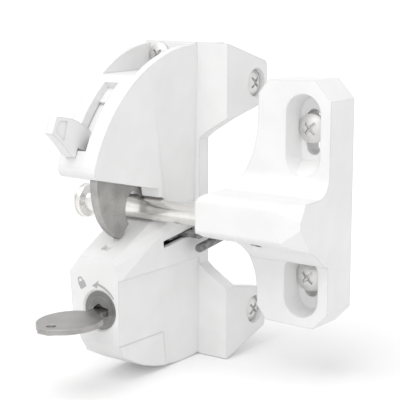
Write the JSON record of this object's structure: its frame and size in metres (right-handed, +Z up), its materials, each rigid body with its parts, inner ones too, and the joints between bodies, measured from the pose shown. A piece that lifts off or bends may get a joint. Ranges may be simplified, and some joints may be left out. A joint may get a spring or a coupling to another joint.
{
  "type": "lockable gate latch",
  "caption": "Key-lockable gate latch: C-shaped white post body with thumb lever and swinging hook, and a gate striker carrying a round rod.",
  "frame": {"origin": "on the back face of the latch body, level with the striker rod, on the line of the key barrel", "axes": "+X along the striker rod from the post towards the gate, +Y back into the post and gate face, +Z up"},
  "size_m": [0.127, 0.1371, 0.15],
  "materials": {
    "white_plastic": "satin moulded plastic",
    "grey_plastic": "matt moulded plastic",
    "stainless_steel": "brushed, semi-bright",
    "hook_steel": "rolled and tumbled",
    "zinc_diecast": "satin cast",
    "key_nickel": "nickel plated, satin",
    "screw_zinc": "zinc plated",
    "dark_coat": "dark grey coated",
    "spring_steel": "drawn wire",
    "brass": "turned"
  },
  "bodies": {
    "latch": {"latch_body": "white_plastic", "back_cover": "grey_plastic", "cover_screws": "screw_zinc", "post_face_screws": "screw_zinc", "post_side_screws": "screw_zinc", "lock_shell": "zinc_diecast", "lock_clip": "spring_steel", "hook_pin": "stainless_steel", "lever_pin": "stainless_steel", "hook_spring": "spring_steel", "release_spring": "spring_steel"},
    "lever": {"thumb_lever": "white_plastic", "drive_pin": "stainless_steel"},
    "hook": {"hook": "hook_steel", "hook_bush": "brass"},
    "gate": {"striker_body": "white_plastic", "rod_set_screw": "dark_coat", "gate_screws": "screw_zinc"},
    "rod": {"striker_rod": "stainless_steel"},
    "plug": {"lock_plug": "zinc_diecast", "lock_wafers": "brass", "lock_cam": "stainless_steel"},
    "key": {"key": "key_nickel"},
    "lock_bar": {"locking_bar": "stainless_steel"},
    "release": {"release_tongue": "dark_coat", "release_rod": "dark_coat"}
  },
  "joints": [
    {"name": "lever_lift", "type": "hinge", "parent": "latch", "child": "lever", "pos_m": [0, -0.008, 0], "axis": [-1, 0, 0], "range_deg": [0, 11], "stiffness_Nm_per_rad": 0.3, "springref_deg": -17.19},
    {"name": "hook_swing", "type": "hinge", "parent": "latch", "child": "hook", "pos_m": [0, -0.019, 0.017], "axis": [-1, 0, 0], "range_deg": [0, 44], "deforming": ["hook_spring"]},
    {"name": "gate_travel", "type": "slide", "parent": "latch", "child": "gate", "axis": [0, -1, 0], "range_m": [0, 0.0264]},
    {"name": "rod_reach", "type": "slide", "parent": "gate", "child": "rod", "axis": [-1, 0, 0], "range_m": [0, 0.008]},
    {"name": "key_turn", "type": "hinge", "parent": "latch", "child": "plug", "pos_m": [0, -0.06, -0.042], "axis": [0, -1, 0], "range_deg": [0, 90]},
    {"name": "bar_lift", "type": "slide", "parent": "latch", "child": "lock_bar", "axis": [0, 0, 1], "range_m": [0, 0.00594]},
    {"name": "key_withdraw", "type": "slide", "parent": "plug", "child": "key", "axis": [0, -1, 0], "range_m": [0, 0.025]},
    {"name": "release_push", "type": "slide", "parent": "latch", "child": "release", "axis": [0, -0.9914, -0.1305], "range_m": [0, 0.007], "stiffness_N_per_m": 200, "springref_m": -0.004, "deforming": ["release_spring"]}
  ],
  "couplings": [
    {"joint": "hook_swing", "follows": "lever_lift", "ratio": 4},
    {"joint": "gate_travel", "follows": "lever_lift", "m_per_rad": 0.13751},
    {"joint": "key_turn", "follows": "bar_lift", "rad_per_m": 264.44}
  ]
}
